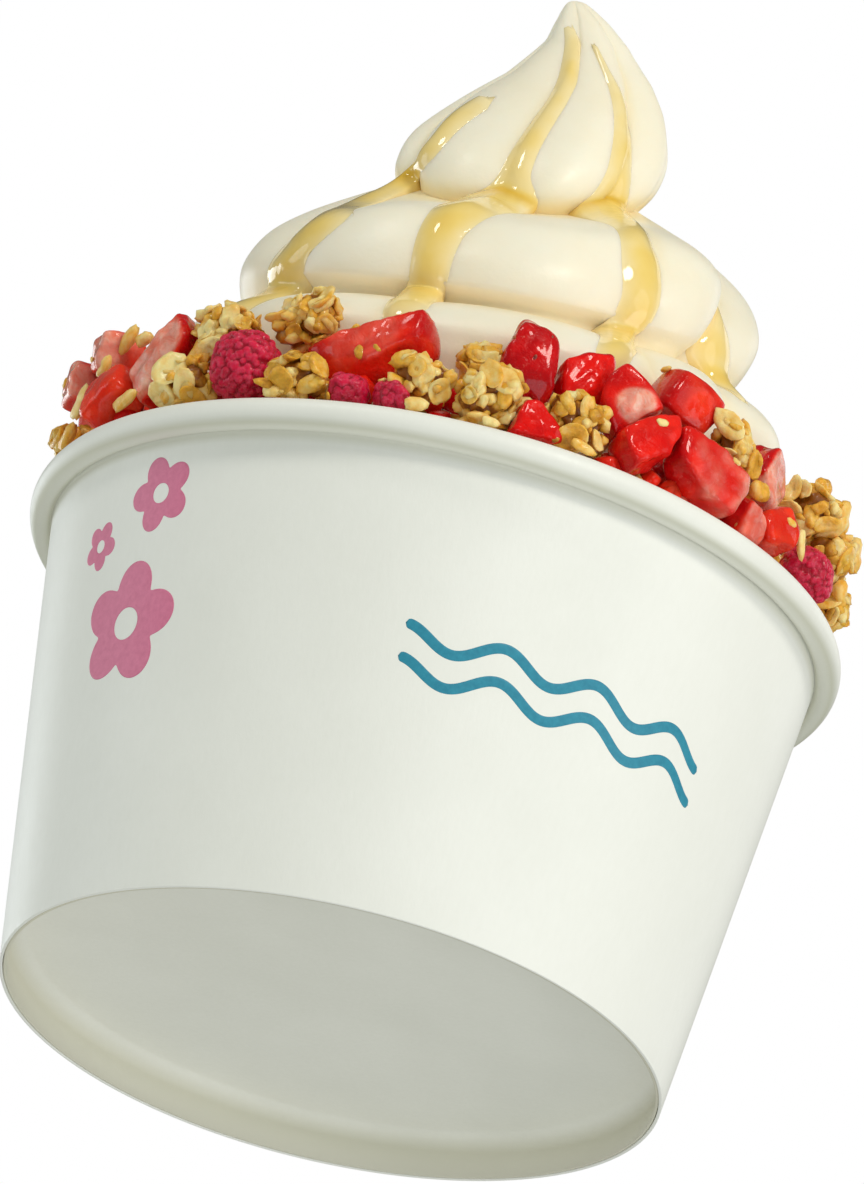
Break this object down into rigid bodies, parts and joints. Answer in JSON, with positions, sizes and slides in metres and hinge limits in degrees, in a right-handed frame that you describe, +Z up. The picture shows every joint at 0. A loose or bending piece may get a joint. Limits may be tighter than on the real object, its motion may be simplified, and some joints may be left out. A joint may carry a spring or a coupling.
{
  "type": "frozen yogurt cup",
  "caption": "Round paper cup with a rolled rim, filled with a ribbed swirl of frozen yogurt ringed by strawberry pieces, raspberries and granola clusters, with honey.",
  "frame": {"origin": "centre of the cup's foot, on the plane it stands on", "axes": "+Z up through the cup and its swirl; -Y is the front, the side that the printed motifs face; +X is to the right seen from the front"},
  "size_m": [0.115, 0.115, 0.1612],
  "materials": {
    "cup_paper": "coated white cup paper, satin",
    "cup_bottom_paper": "uncoated white cup paper, matt",
    "frozen_yogurt": "smooth creamy frozen yogurt, soft gloss",
    "strawberry": "wet glossy red fruit with pale flesh",
    "raspberry": "dark pink drupelets, soft gloss",
    "granola": "baked oat clusters with a honey glaze",
    "honey": "clear golden honey",
    "print_ink": "flat printed ink on the cup paper"
  },
  "bodies": {
    "root": {"cup_wall": "cup_paper", "cup_bottom": "cup_bottom_paper", "frozen_yogurt": "frozen_yogurt", "strawberry_01": "strawberry", "strawberry_02": "strawberry", "strawberry_03": "strawberry", "strawberry_04": "strawberry", "strawberry_05": "strawberry", "strawberry_06": "strawberry", "strawberry_07": "strawberry", "strawberry_08": "strawberry", "strawberry_09": "strawberry", "strawberry_10": "strawberry", "strawberry_11": "strawberry", "strawberry_12": "strawberry", "strawberry_13": "strawberry", "strawberry_14": "strawberry", "strawberry_15": "strawberry", "strawberry_16": "strawberry", "strawberry_17": "strawberry", "strawberry_18": "strawberry", "strawberry_19": "strawberry", "strawberry_20": "strawberry", "strawberry_21": "strawberry", "strawberry_22": "strawberry", "strawberry_23": "strawberry", "strawberry_24": "strawberry", "strawberry_25": "strawberry", "strawberry_26": "strawberry", "strawberry_27": "strawberry", "raspberry_01": "raspberry", "raspberry_02": "raspberry", "raspberry_03": "raspberry", "raspberry_04": "raspberry", "raspberry_05": "raspberry", "raspberry_06": "raspberry", "raspberry_07": "raspberry", "granola_01": "granola", "granola_02": "granola", "granola_03": "granola", "granola_04": "granola", "granola_05": "granola", "granola_06": "granola", "granola_07": "granola", "granola_08": "granola", "granola_09": "granola", "granola_10": "granola", "granola_11": "granola", "granola_12": "granola", "granola_13": "granola", "granola_14": "granola", "granola_15": "granola", "granola_16": "granola", "granola_17": "granola", "granola_18": "granola", "granola_19": "granola", "granola_20": "granola"}
  },
  "joints": []
}
